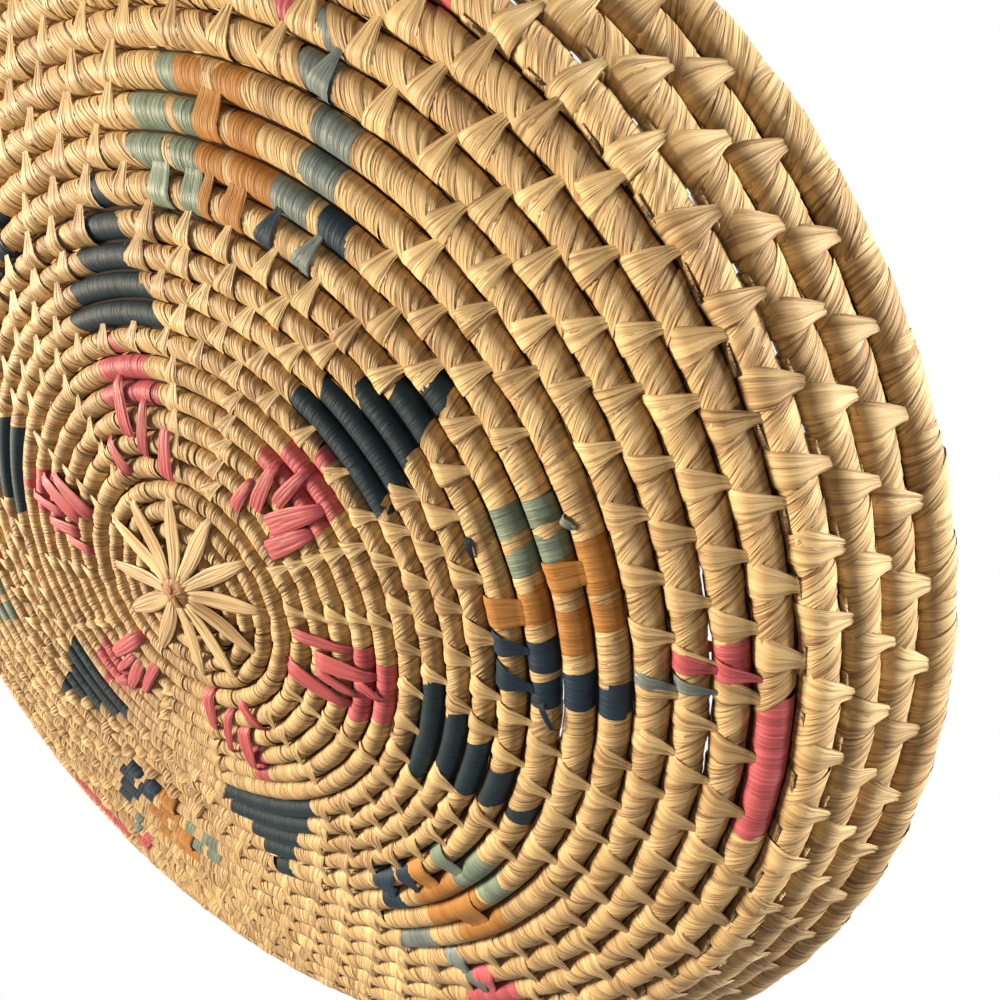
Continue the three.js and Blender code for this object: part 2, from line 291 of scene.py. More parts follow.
# %% [markdown]
# ## Finishes
# Palm leaf splits along its length into fine pale and dark fibres, and folds where it is pulled tight.
# Every strip carries its own map, one way along the strip and one way across. One node group turns that map
# into fibres, with painted shade in the folds and along the edges where strips lap, so every finish needs
# only a pale and a deep colour.
# Each strip also carries a number of its own, which shifts the fibres and makes it paler or browner.
# A picture of leaf could do this too, but a node group stays sharp close by and takes any dye.

# %% Node helpers
def srgb(red, green, blue):
    """Linear colour of a displayed one."""
    def linear(value):
        share = value / 255
        return share / 12.92 if share < 0.04045 else ((share + 0.055) / 1.055) ** 2.4
    return (linear(red), linear(green), linear(blue), 1.0)


def node(tree, kind, inputs=None, **settings):
    """A node with its settings, and its inputs set to a value or linked from an output."""
    made = tree.nodes.new(kind)
    for name, value in settings.items():
        setattr(made, name, value)
    for name, value in (inputs or {}).items():
        if isinstance(value, bpy.types.NodeSocket):
            tree.links.new(value, made.inputs[name])
        else:
            made.inputs[name].default_value = value
    return made


def math_node(tree, operation, first, second=0.0, third=0.0, clamp=False):
    inputs = {0: first, 1: second, 2: third}
    return node(tree, "ShaderNodeMath", inputs, operation=operation, use_clamp=clamp).outputs[0]


def ranged(tree, value, low, high, first=0.0, last=1.0):
    """A value carried over from one range to another."""
    inputs = {0: value, 1: low, 2: high, 3: first, 4: last}
    return node(tree, "ShaderNodeMapRange", inputs).outputs[0]


def mixed(tree, share, first, second):
    """Two colours mixed, from the first at 0 to the second at 1."""
    inputs = {"Factor": share, 6: first, 7: second}
    return node(tree, "ShaderNodeMix", inputs, data_type="RGBA").outputs[2]


def add_sockets(tree, direction, sockets):
    for name, kind in sockets.items():
        tree.interface.new_socket(name, in_out=direction, socket_type=kind)


# %% Leaf fibres
STRIP_MAP = "strip"
NOISE_DETAIL = 2.0
NOISE_ROUGHNESS = 0.6
# How fine the pattern is along and across a strip, and how far the strip's own number shifts it
FIBRE_GRAIN = (0.9, 17.0, 61.0)
FOLD_GRAIN = (0.5, 4.5, 37.0)
PATCH_GRAIN = 26.0
NOISE_RANGE = (0.3, 0.7)
FOLD_RANGE = (0.34, 0.58)
STRIP_MIDDLE = 0.5
BORDER_RANGE = (0.4, 0.5)
# How much each effect adds to the share of the pale colour, or takes from it
PLAIN_SHADE = 0.32
FIBRE_SHADE = 0.3
TONE_SHADE = 0.3
PATCH_SHADE = 0.16
# The crease and edge shares paint shade: darker folds, and darker edges where strips lap.
CREASE_SHADE = -0.4
BORDER_SHADE = 0.2
FIBRE_HEIGHT = 0.3
CREASE_HEIGHT = -1.0


def noise(tree, vector, low, high, scale=1.0):
    """Noise spread between its usual low and high values."""
    inputs = {"Vector": vector, "Scale": scale, "Detail": NOISE_DETAIL, "Roughness": NOISE_ROUGHNESS}
    return ranged(tree, node(tree, "ShaderNodeTexNoise", inputs).outputs["Fac"], low, high)


def leaf_fibres():
    """Colour and height of split palm leaf, from the strip's own map."""
    tree = bpy.data.node_groups.new("leaf_fibres", "ShaderNodeTree")
    sockets = {"Pale": "NodeSocketColor", "Deep": "NodeSocketColor", "Folds": "NodeSocketFloat"}
    add_sockets(tree, "INPUT", sockets)
    add_sockets(tree, "OUTPUT", {"Color": "NodeSocketColor", "Height": "NodeSocketFloat"})
    given = node(tree, "NodeGroupInput").outputs
    place = node(tree, "ShaderNodeUVMap", uv_map=STRIP_MAP).outputs["UV"]
    tone = node(tree, "ShaderNodeAttribute", attribute_name="tone").outputs["Fac"]
    parts = node(tree, "ShaderNodeSeparateXYZ", {"Vector": place}).outputs

    def stretched(along, across, shift):
        x = math_node(tree, "MULTIPLY", parts["X"], along)
        y = math_node(tree, "MULTIPLY", parts["Y"], across)
        z = math_node(tree, "MULTIPLY", tone, shift)
        return node(tree, "ShaderNodeCombineXYZ", {"X": x, "Y": y, "Z": z}).outputs[0]

    fibre = noise(tree, stretched(*FIBRE_GRAIN), *NOISE_RANGE)
    fold = noise(tree, stretched(*FOLD_GRAIN), *FOLD_RANGE)
    where = node(tree, "ShaderNodeTexCoord").outputs["Object"]
    patch = noise(tree, where, *NOISE_RANGE, PATCH_GRAIN)
    edge = math_node(tree, "ABSOLUTE", math_node(tree, "SUBTRACT", parts["Y"], STRIP_MIDDLE))
    # Painted shade: the long edges of every strip are darker, for the shade where one strip laps over the
    # next.
    edge_shade = ranged(tree, edge, *BORDER_RANGE, 0.0, BORDER_SHADE)
    # Painted shade: the folds are coloured darker for the shade that falls in them, and the bump sinks them
    # too.
    shaded_crease = math_node(tree, "MULTIPLY", math_node(tree, "SUBTRACT", 1.0, fold), given["Folds"])
    shade = math_node(tree, "MULTIPLY_ADD", fibre, FIBRE_SHADE, PLAIN_SHADE)
    shade = math_node(tree, "MULTIPLY_ADD", tone, TONE_SHADE, shade)
    shade = math_node(tree, "MULTIPLY_ADD", patch, PATCH_SHADE, shade)
    shade = math_node(tree, "MULTIPLY_ADD", shaded_crease, CREASE_SHADE, shade)
    shade = math_node(tree, "SUBTRACT", shade, edge_shade, clamp=True)
    colour = mixed(tree, shade, given["Deep"], given["Pale"])
    sunk = math_node(tree, "MULTIPLY", shaded_crease, CREASE_HEIGHT)
    height = math_node(tree, "MULTIPLY_ADD", fibre, FIBRE_HEIGHT, sunk)
    node(tree, "NodeGroupOutput", {"Color": colour, "Height": height})
    return tree


FIBRES = leaf_fibres()

# %% One finish for each kind of strip
LEAF_ROUGHNESS = 0.46
DYED_ROUGHNESS = 0.6
GRASS_ROUGHNESS = 0.9
LEAF_GLOSS = 0.22
FIBRE_STRENGTH = 0.7
FIBRE_DEPTH = 0.35 * MM


def leaf(name, pale, deep, folds=1.0, roughness=LEAF_ROUGHNESS):
    """Finish of one kind of strip."""
    material = bpy.data.materials.new(name)
    material.use_nodes = True
    tree = material.node_tree
    shader = tree.nodes["Principled BSDF"]
    colours = {"Pale": srgb(*pale), "Deep": srgb(*deep), "Folds": folds}
    fibres = node(tree, "ShaderNodeGroup", colours, node_tree=FIBRES)
    raised = {"Height": fibres.outputs["Height"], "Strength": FIBRE_STRENGTH, "Distance": FIBRE_DEPTH}
    bump = node(tree, "ShaderNodeBump", raised)
    tree.links.new(fibres.outputs["Color"], shader.inputs["Base Color"])
    tree.links.new(bump.outputs["Normal"], shader.inputs["Normal"])
    shader.inputs["Roughness"].default_value = roughness
    shader.inputs["Specular IOR Level"].default_value = LEAF_GLOSS
    return material


STRAW = leaf("straw_leaf", (255, 221, 162), (100, 51, 15))
STITCH = leaf("stitch_leaf", (255, 224, 166), (104, 55, 19), folds=0.9)
STAR = leaf("star_leaf", (255, 228, 176), (130, 82, 43), folds=0.9)
# Painted shade: the hub is browner than the rays, for the shade where the strips gather together.
SHADED_HUB = leaf("hub_leaf", (204, 154, 104), (112, 70, 36), folds=0.9)
PETAL = leaf("petal_leaf", (218, 113, 117), (130, 38, 50), folds=0.7)
DYES = {
    "pink": leaf("pink_leaf", (230, 119, 126), (114, 36, 46), folds=0.6),
    "teal": leaf("teal_leaf", (25, 49, 57), (3, 8, 11), folds=0.4, roughness=DYED_ROUGHNESS),
    "navy": leaf("navy_leaf", (37, 58, 75), (7, 12, 20), folds=0.5, roughness=DYED_ROUGHNESS),
    "orange": leaf("orange_leaf", (203, 147, 80), (120, 67, 23), folds=0.5, roughness=DYED_ROUGHNESS),
    "sage": leaf("sage_leaf", (154, 170, 150), (50, 70, 62), folds=0.5),
    "slate": leaf("slate_leaf", (143, 156, 153), (38, 48, 54), folds=0.5),
}
# Painted shade: the grass and the stitch roots are dark brown, for the warm shade deep between wraps and
# rows.
SHADED_GRASS = leaf("grass_core", (92, 56, 26), (30, 15, 6), roughness=GRASS_ROUGHNESS)
print("finishes:", len(bpy.data.materials))

# %% [markdown]
# ## One strip
# A strip is a thin ribbon with a front and a back, so it is built as a closed tube of very flat section.
# The same function makes a closed loop, for a wrap, or an open one with ends, for a stitch.
# Its long edges are kept sharp, and its map runs along and across it.
# A single sheet of faces would be lighter, but a closed strip has a true inside and outside.

# %% One strip
MAP_LENGTH = 2.0


def strip_mesh(name, rings, closed, map_length=MAP_LENGTH):
    """Mesh through rings of points: each ring runs across the front, and its last side is the back."""
    count, width = rings.shape[:2]
    faces = []
    places = []
    for i in range(count if closed else count - 1):
        j = (i + 1) % count
        for k in range(width):
            m = (k + 1) % width
            faces.append((i * width + k, i * width + m, j * width + m, j * width + k))
            places += [(i, k), (i, m), (i + 1, m), (i + 1, k)]
    if not closed:
        for i in (0, count - 1):
            faces.append([i * width + k for k in (range(width - 1, -1, -1) if i == 0 else range(width))])
            places += [(i, k % width) for k in faces[-1]]
    mesh = bpy.data.meshes.new(name)
    mesh.from_pydata(rings.reshape(-1, 3).tolist(), [], faces)
    chart = mesh.uv_layers.new(name=STRIP_MAP)
    for corner, (i, k) in zip(chart.data, places):
        corner.uv = (i / count * map_length, k / (width - 1))
    for edge in mesh.edges:
        first, second = (v % width for v in edge.vertices)
        edge.use_edge_sharp = first == second and first in (0, width - 1)
    mesh.polygons.foreach_set("use_smooth", [True] * len(mesh.polygons))
    corners = [[mesh.vertices[v].co for v in p.vertices] for p in mesh.polygons]
    volume = sum(c[0].dot(c[i].cross(c[i + 1])) for c in corners for i in range(1, len(c) - 1))
    if volume < 0:
        mesh.flip_normals()
    return mesh


def template(name, meshes):
    """A set of strips to pick from, kept out of the scene."""
    folder = bpy.data.collections.new(name)
    for mesh in meshes:
        folder.objects.link(bpy.data.objects.new(mesh.name, mesh))
    print(name, "to pick from:", len(meshes))
    return folder


# %% Wraps to pick from
VARIANTS = 3
LOOP_STEPS = 18
LOOP_ACROSS = np.array([-0.5, 0.0, 0.5])
LAP_LIFT = np.array([-0.008, 0.004, 0.004])
EVEN_LIFT = np.array([-0.006, 0.006, -0.004])
WRAP_ASPECT = 0.85
WRAP_WAVE = 0.004
WRAP_WANDER = 0.05
STITCH_WRAPS = 6
# The wraps that go to a stitch, then the plain and the dyed wrap
WRAP_SLANTS = np.radians([6, 17, 30, 42, 36, 18, 20, 4])
PLAIN_WRAP, DYED_WRAP = STITCH_WRAPS, STITCH_WRAPS + 1


def wrap_loop(kind, seed):
    """One slanting turn of a strip round a coil of radius 1, with X along the coil in strip widths."""
    rng = np.random.default_rng(seed)
    lift = LAP_LIFT if kind == PLAIN_WRAP else EVEN_LIFT
    angle = np.linspace(0, 2 * np.pi, LOOP_STEPS, endpoint=False)[:, None]
    phase = rng.uniform(0, 2 * np.pi, 2)
    radius = 1 + lift + WRAP_WAVE * np.sin(2 * angle + phase[0])
    lean_over = math.tan(WRAP_SLANTS[kind]) * WRAP_ASPECT * np.cos(angle)
    x = LOOP_ACROSS + lean_over + WRAP_WANDER * np.sin(angle + phase[1])
    rings = np.stack([x + 0 * radius, radius * np.cos(angle), radius * np.sin(angle)], -1)
    return strip_mesh(f"wrap_{kind}_{seed}", rings, True)


WRAPS = template("wraps", [
    wrap_loop(kind, seed) for kind in range(len(WRAP_SLANTS)) for seed in range(VARIANTS)
])

# %% Stitches to pick from
# A stitch goes from the row that it wraps, at X = 0, to the row that it enters, at X = 1
ROW_RADIUS = 0.47
STITCH_RISE = 1.085
STITCH_ANGLES = np.radians([205, 175, 145, 115, 90, 64])
STITCH_TAIL = [(0.40, 0.425), (0.52, 0.395), (0.63, 0.375), (0.74, 0.385), (0.85, 0.36)]
FAN_EDGES = [
    (0.57, 0.63, 0.63, 0.55, 0.44, 0.32, 0.22, 0.15, 0.09, 0.03, -0.04),
    (-0.34, -0.38, -0.41, -0.43, -0.41, -0.35, -0.30, -0.28, -0.28, -0.29, -0.31),
]
STRAP_EDGES = [
    (0.5, 0.5, 0.5, 0.5, 0.5, 0.48, 0.46, 0.44, 0.42, 0.40, 0.36),
    (-0.5, -0.5, -0.5, -0.5, -0.49, -0.47, -0.45, -0.43, -0.41, -0.40, -0.36),
]
STITCH_ACROSS = np.array([0.0, 0.3, 0.55, 0.78, 1.0])
STITCH_LIFT = np.array([-0.03, 0.014, 0.0, 0.018, -0.02])
STITCH_BOW = 0.05
STITCH_EASE = 0.4
FOLD_NOISE = 0.008
STITCH_NOISE = 0.004
STITCH_MAP_LENGTH = 1.2


def stitch_strip(seed, edges, name):
    """A long stitch, with X across the rows in row widths and Y along them in stitch widths."""
    rng = np.random.default_rng(seed)
    raised = ROW_RADIUS * STITCH_RISE
    path = np.array([(raised * math.cos(a), raised * math.sin(a)) for a in STITCH_ANGLES] + STITCH_TAIL)
    upper, lower = (np.array(edge)[:, None] for edge in edges)
    bow = STITCH_BOW * rng.normal() * np.sin(np.linspace(0, np.pi, len(path)))[:, None]
    y = lower + (upper - lower) * STITCH_ACROSS + bow
    ease = np.linspace(1, STITCH_EASE, len(path))[:, None]
    fold = (STITCH_LIFT + rng.normal(0, FOLD_NOISE, len(STITCH_LIFT))) * ease
    x = path[:, :1] + 0 * y
    z = path[:, 1:] + fold + rng.normal(0, STITCH_NOISE, y.shape)
    return strip_mesh(f"{name}_{seed}", np.stack([x, y, z], -1), False, STITCH_MAP_LENGTH)


FANS = template("fans", [stitch_strip(seed, FAN_EDGES, "fan") for seed in range(VARIANTS)])
STRAPS = template("straps", [stitch_strip(seed, STRAP_EDGES, "strap") for seed in range(VARIANTS)])

# %% Flat strips to pick from
LANCE_ACROSS = np.array([-0.5, -0.22, 0.04, 0.26, 0.5])
LANCE_LIFT = np.array([-0.35, 0.18, -0.18, 0.18, -0.35])
LANCE_BOW = 0.12
LANCE_NOISE = 0.06
RAY_WIDTHS = [0.5, 0.72, 0.9, 1.0, 0.98, 0.82, 0.55, 0.2]
RAY_RISES = [2.9, 2.3, 1.5, 1.1, 0.9, 0.6, 0.2, -1.4]
PETAL_WIDTHS = [0.8, 0.95, 1.0, 0.97, 0.9, 0.8, 0.64, 0.42]
PETAL_RISES = [-2.4, 0.5, 0.9, 0.9, 0.8, 0.6, 0.2, -1.6]
HUB_WIDTHS = [0.4, 0.6, 0.8, 0.95, 1.0, 1.0, 0.95, 0.8]
HUB_RISES = [3.7, 3.7, 3.65, 3.55, 3.4, 3.1, 2.6, 1.7]


def lance_strip(seed, widths, rises, name):
    """A strip of length 1 and width 1 that lies flat over the rows and rises by millimetres."""
    rng = np.random.default_rng(seed)
    x = np.linspace(0, 1, len(widths))[:, None]
    y = np.array(widths)[:, None] * LANCE_ACROSS + LANCE_BOW * rng.normal() * np.sin(np.pi * x)
    z = np.array(rises)[:, None] + LANCE_LIFT + rng.normal(0, LANCE_NOISE, y.shape)
    return strip_mesh(f"{name}_{seed}", np.stack([x + 0 * y, y, z], -1), False)


def lances(name, widths, rises):
    return template(name, [lance_strip(seed, widths, rises, name) for seed in range(VARIANTS)])


RAYS = lances("rays", RAY_WIDTHS, RAY_RISES)
HUBS = lances("hubs", HUB_WIDTHS, HUB_RISES)
LANCES = lances("lances", PETAL_WIDTHS, PETAL_RISES)

# %% [markdown]
# ## Strips along the coil
# Geometry Nodes set one strip on each place of a list: a place has its own two directions, slant and size.
# The tree picks a strip, turns it a little at random and gives it its own tone, so that no two look alike.
# A loop in Python could copy the strips too, but the tree is faster, and names its sizes and its seed.

# %% Strips along the coil
TILT_DRAW, SIZE_DRAW, PICK_DRAW, TONE_DRAW = 1, 2, 3, 4


def strips_tree():
    """A strip on each place, turned, sized and toned by chance."""
    tree = bpy.data.node_groups.new("strips_along_the_coil", "GeometryNodeTree")
    add_sockets(tree, "INPUT", {
        "Places": "NodeSocketGeometry",
        "Strips": "NodeSocketCollection",
        "Tilt Jitter": "NodeSocketFloat",
        "Size Jitter": "NodeSocketVector",
        "Seed": "NodeSocketInt",
        "Finish": "NodeSocketMaterial",
    })
    add_sockets(tree, "OUTPUT", {"Strips": "NodeSocketGeometry"})
    given = node(tree, "NodeGroupInput").outputs

    def own(name, kind):
        return node(tree, "GeometryNodeInputNamedAttribute", {"Name": name}, data_type=kind).outputs[0]

    def chance(low, high, shift, kind="FLOAT"):
        seed = math_node(tree, "ADD", given["Seed"], shift)
        first = {"FLOAT": 2, "INT": 4, "FLOAT_VECTOR": 0}[kind]
        made = node(tree, "FunctionNodeRandomValue", data_type=kind)
        for socket, value in zip(made.inputs[first:first + 2], (low, high)):
            socket.default_value = value
        tree.links.new(seed, made.inputs["Seed"])
        return made.outputs[{"FLOAT": 1, "INT": 2, "FLOAT_VECTOR": 0}[kind]]

    facing, heading = (own(name, "FLOAT_VECTOR") for name in ("facing", "heading"))
    axes = {"Primary Axis": facing, "Secondary Axis": heading}
    stand = node(tree, "FunctionNodeAxesToRotation", axes, primary_axis="Z", secondary_axis="X")
    jitter = math_node(tree, "MULTIPLY", chance(-1.0, 1.0, TILT_DRAW), given["Tilt Jitter"])
    slant = math_node(tree, "ADD", own("slant", "FLOAT"), jitter)
    tilt = node(tree, "FunctionNodeAxisAngleToRotation", {"Axis": (0, 0, 1), "Angle": slant})
    turned = {"Rotation": stand.outputs[0], "Rotate By": tilt.outputs[0]}
    turn = node(tree, "FunctionNodeRotateRotation", turned, rotation_space="LOCAL")
    swell = chance((-1, -1, -1), (1, 1, 1), SIZE_DRAW, "FLOAT_VECTOR")
    grown = {0: swell, 1: given["Size Jitter"], 2: (1, 1, 1)}
    swell = node(tree, "ShaderNodeVectorMath", grown, operation="MULTIPLY_ADD").outputs[0]
    scaled = {0: own("size", "FLOAT_VECTOR"), 1: swell}
    size = node(tree, "ShaderNodeVectorMath", scaled, operation="MULTIPLY")
    variant = chance(0, VARIANTS - 1, PICK_DRAW, "INT")
    pick = math_node(tree, "MULTIPLY_ADD", own("kind", "FLOAT"), VARIANTS, variant)
    folder = {"Collection": given["Strips"], "Separate Children": True, "Reset Children": True}
    strips = node(tree, "GeometryNodeCollectionInfo", folder)
    points = node(tree, "GeometryNodeMeshToPoints", {"Mesh": given["Places"]})
    laid = node(tree, "GeometryNodeInstanceOnPoints", {
        "Points": points.outputs[0],
        "Instance": strips.outputs[0],
        "Pick Instance": True,
        "Instance Index": pick,
        "Rotation": turn.outputs[0],
        "Scale": size.outputs[0],
    })
    toned = {"Geometry": laid.outputs[0], "Name": "tone", "Value": chance(0.0, 1.0, TONE_DRAW)}
    tone = node(tree, "GeometryNodeStoreNamedAttribute", toned, data_type="FLOAT", domain="INSTANCE")
    solid = node(tree, "GeometryNodeRealizeInstances", {"Geometry": tone.outputs[0]})
    finish = {"Geometry": solid.outputs[0], "Material": given["Finish"]}
    node(tree, "NodeGroupOutput", {"Strips": node(tree, "GeometryNodeSetMaterial", finish).outputs[0]})
    return tree


STRIPS_TREE = strips_tree()


def places_mesh(places):
    """Loose points with the directions, slant and size of the strip on each."""
    mesh = bpy.data.meshes.new("places")
    mesh.from_pydata(places["at"].tolist(), [], [])
    for name in ("heading", "facing", "size"):
        held = mesh.attributes.new(name, "FLOAT_VECTOR", "POINT")
        held.data.foreach_set("vector", np.asarray(places[name], np.float32).ravel())
    for name in ("slant", "kind"):
        held = mesh.attributes.new(name, "FLOAT", "POINT")
        held.data.foreach_set("value", np.zeros(len(places["at"]), np.float32) + places.get(name, 0))
    return mesh


def run_tree(name, mesh, tree, values):
    """The tree's result as a plain mesh in an object of its own."""
    source = bpy.data.objects.new("source", mesh)
    bpy.context.scene.collection.objects.link(source)
    modifier = source.modifiers.new("nodes", "NODES")
    modifier.node_group = tree
    for item in tree.interface.items_tree:
        if item.in_out == "INPUT" and item.name in values:
            modifier[item.identifier] = values[item.name]
    source.update_tag()
    graph = bpy.context.evaluated_depsgraph_get()
    made = bpy.data.meshes.new_from_object(
        source.evaluated_get(graph), preserve_all_data_layers=True, depsgraph=graph
    )
    bpy.data.objects.remove(source)
    piece = bpy.data.objects.new(name, made)
    made.name = name
    bpy.context.scene.collection.objects.link(piece)
    return piece


def add_piece(piece, nodes=()):
    """Ties a finished piece to the tray's body and hides the solids that it stands for."""
    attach(piece, "root")
    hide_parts(*nodes)
    print(piece.name, len(piece.data.polygons), "faces")


def lay_strips(name, places, strips, finish, tilt, spread, seed):
    """A piece made of strips on their places."""
    values = {"Strips": strips, "Tilt Jitter": tilt, "Size Jitter": spread, "Seed": seed, "Finish": finish}
    return run_tree(name, places_mesh(places), STRIPS_TREE, values)


# %% [markdown]
# ## The natural wrapping
# Six wraps go to each stitch. The wrap beside the stitch runs nearly square to the row. The next ones slant
# more and more, to reach the place where the next stitch goes through, and the last two straighten again.
# The number of stitches in a turn grows outwards in steps, so that they stay about equally far apart.
# Near the middle, and between the dyed bars, the rows are wound plainly, with even wraps and few stitches.
# A tube with a bump pattern would be simpler, but the edges of the wraps show, so each wrap is a loop.

# %% The natural wrapping
PLAIN_END = 10.6
STITCH_TURNS = [10, 14, 18, 22, 28]
STITCHES_PER_TURN = [40.5, 52.56, 63.6, 68.6]
STITCH_COUNTS = np.concatenate([[0], np.cumsum(np.diff(STITCH_TURNS) * np.array(STITCHES_PER_TURN))])
WRAP_PHASES = np.array([0.02, 0.20, 0.38, 0.56, 0.72, 0.88])
WRAP_SWELLS = np.array([1.0, 1.02, 1.045, 1.07, 1.03, 0.985, 1.02, 1.03])
WRAP_SHARE = 0.3
WRAP_SPREAD = (0.1, 0.003, 0.003)
WRAP_TILT = 0.06
WRAP_SEED = 1
PLAIN_SPACING = 2.0 * MM
PLAIN_WIDTH = 1.6
START_TURN = FIRST_ROW - ROW_MIDDLE
END_TURN = RIM_END - ROW_MIDDLE
PLAIN = [(0, PLAIN_END)] + [
    (turn_of(BAR_ROW + row, angle + BAR_REACH[1]), turn_of(BAR_ROW + row, angle + BAR_REACH[0]))
    for angle in BAR_ANGLES
    for row in range(BAR_ROWS)
]
TURN_TABLE = np.arange(0, RIM_END, ROW_STEP)
COIL_LENGTHS = np.cumsum(2 * np.pi * coil_radius(TURN_TABLE) * ROW_STEP)


def stitch_turns(stitches):
    """Turns of the coil at a count of stitches."""
    return np.interp(stitches, STITCH_COUNTS, STITCH_TURNS)


def stitch_room(turn):
    """Length of coil that goes to one stitch."""
    zone = np.clip(np.searchsorted(STITCH_TURNS, turn, side="right") - 1, 0, None)
    return 2 * np.pi * coil_radius(turn) / np.array(STITCHES_PER_TURN)[zone]


def even_turns(first, last, spacing):
    """Turns at even steps along the coil."""
    start, end = np.interp([first, last], TURN_TABLE, COIL_LENGTHS)
    return np.interp(np.arange(start + spacing / 2, end, spacing), COIL_LENGTHS, TURN_TABLE)


LUMP_ROWS = (2, 7, 11)
LUMPS = (0.075, 0.06, 0.0)
LUMP_WAVES = (1.7, 1.13)
SMALL_LUMP = 0.5
SWELL_WAVES = (5.1, 3.3)
SWELLS = (0.012, 0.010)


def unevenness(turn):
    """The coil swells and shrinks a little along its length, and stands in lumps near the middle."""
    length = np.interp(turn, TURN_TABLE, COIL_LENGTHS) / MM
    bumps = np.sin(length / LUMP_WAVES[0]) + SMALL_LUMP * np.sin(length / LUMP_WAVES[1] + 1)
    lump = np.interp(turn, LUMP_ROWS, LUMPS) * bumps
    long, short = (length / wave for wave in SWELL_WAVES)
    return 1 + SWELLS[0] * np.sin(long) + SWELLS[1] * np.sin(short + 1) + lump


# Where light shows between a row and the next: the row, with the angles where the gap starts and ends
LOOSE_GAPS = [(10, -21, -15), (16, -1, 4), (20, -3, 14), (21, -6, -1), (23, 21, 60)]
LOOSE_SWELL = 0.955
LOOSE_EDGES = [(turn_of(row, end), turn_of(row, start)) for row, start, end in LOOSE_GAPS]
LOOSE_ROWS = LOOSE_EDGES + [(start + 1, end + 1) for start, end in LOOSE_EDGES]


def wrap_places(turn, kind, width):
    """Places of wraps, tight round the coil."""
    centre, along, over = coil(turn)
    tight = np.where(within(turn, LOOSE_ROWS), LOOSE_SWELL, 1)
    around = girth(turn) * WRAP_SWELLS[kind] * unevenness(turn) * tight
    size = np.stack([width, around, around], -1)
    return {"at": centre, "heading": along, "facing": over, "size": size, "kind": kind}


def natural_wraps(first, last):
    """Places of the wraps between two turns, where nothing is dyed."""
    whole = np.arange(math.floor(STITCH_COUNTS[-1]))
    tied = stitch_turns((whole[:, None] + WRAP_PHASES).ravel())
    kind = np.tile(np.arange(STITCH_WRAPS), len(whole))
    keep = (tied > first) & (tied < last) & ~within(tied, DYED) & ~within(tied, PLAIN)
    tied, kind = tied[keep], kind[keep]
    plain = even_turns(first, last, PLAIN_SPACING)
    plain = plain[within(plain, PLAIN) & ~within(plain, DYED)]
    turn = np.concatenate([tied, plain])
    kind = np.concatenate([kind, np.full(len(plain), PLAIN_WRAP)])
    plain_width = np.full(len(plain), PLAIN_SPACING * PLAIN_WIDTH)
    width = np.concatenate([stitch_room(tied) * WRAP_SHARE, plain_width])
    return wrap_places(turn, kind, width)


# The outer base is wrapped in two pieces, which keeps each mesh small
BASE_SPLIT = 20
LENGTHS = {
    "start_wrapping": (0, START_TURN, "start_knot"),
    "centre_wrapping": (START_TURN, CENTRE_ROWS - ROW_MIDDLE, "centre_coil"),
    "base_wrapping": (CENTRE_ROWS - ROW_MIDDLE, BASE_SPLIT - ROW_MIDDLE, "base_coil"),
    "base_edge_wrapping": (BASE_SPLIT - ROW_MIDDLE, BASE_ROWS - ROW_MIDDLE, "base_coil"),
    "wall_wrapping": (BASE_ROWS - ROW_MIDDLE, WALL_END - ROW_MIDDLE, "wall_coil"),
    "rim_wrapping": (WALL_END - ROW_MIDDLE, END_TURN, "rim_coil"),
}
for name, (first, last, solid) in LENGTHS.items():
    piece = lay_strips(name, natural_wraps(first, last), WRAPS, STRAW, WRAP_TILT, WRAP_SPREAD, WRAP_SEED)
    add_piece(piece, [solid])

# %% [markdown]
# ## The long stitches
# A stitch comes up at a row's inner side, lies over the row, narrows over the gap and goes in under the
# next row's slanted wraps. Seen from a step away these pointed fans are what shows most.
# The tray has them on both faces. Near the middle they stand in ribs beside the petals.
# They could be curves with a flat section, but a strip between two given edges keeps the shape of the fan.

# %% The long stitches
FACES = ((-1, "under"), (1, "upper"))
UPPER_SHIFT = 0.5
FAN_SHARE = 0.48
FAN_SPREAD = (0.02, 0.17, 0.01)
FAN_TILT = 0.1
FAN_SEED = 2
FAN_ROWS = (10, 14, 18)
FAN_SLANTS = np.radians([-12, -5, 0])
RIB_ANGLES = (-15, 25)
RIB_ROWS = range(5, 10)
RIB_WIDTH = 4.8 * MM
RIB_SLANTS = np.radians([8, -16])


def stitch_places(turn, side, width, slant):
    """Places of stitches to the next row, on one face of the tray."""
    centre, _, over = coil(turn)
    reach = coil(turn + 1)[0] - centre
    length = np.linalg.norm(reach, axis=-1)
    ahead = reach / length[..., None]
    square = over - ahead * np.sum(over * ahead, axis=-1, keepdims=True)
    size = np.stack([length, width, length], -1)
    return {"at": centre, "heading": reach, "facing": square * side, "size": size, "slant": slant}


def natural_stitches(first, last, side):
    """Places of the undyed stitches between two turns, and of the ribs."""
    shift = UPPER_SHIFT if side > 0 else 0.0
    turn = stitch_turns(np.arange(math.floor(STITCH_COUNTS[-1])) + shift)
    turn = turn[(turn > first) & (turn < last) & ~within(turn, DYED) & ~within(turn, PLAIN)]
    ribs, leans = np.array([
        (turn_of(row, angle + rib), slant)
        for angle in PETAL_ANGLES
        for rib, slant in zip(RIB_ANGLES, RIB_SLANTS)
        for row in RIB_ROWS
    ]).T
    here = (ribs > first) & (ribs < last)
    ribs, leans = ribs[here], leans[here]
    width = np.concatenate([stitch_room(turn) * FAN_SHARE, 0 * ribs + RIB_WIDTH])
    slant = np.concatenate([np.interp(turn, FAN_ROWS, FAN_SLANTS), leans])
    return stitch_places(np.concatenate([turn, ribs]), side, width, slant)


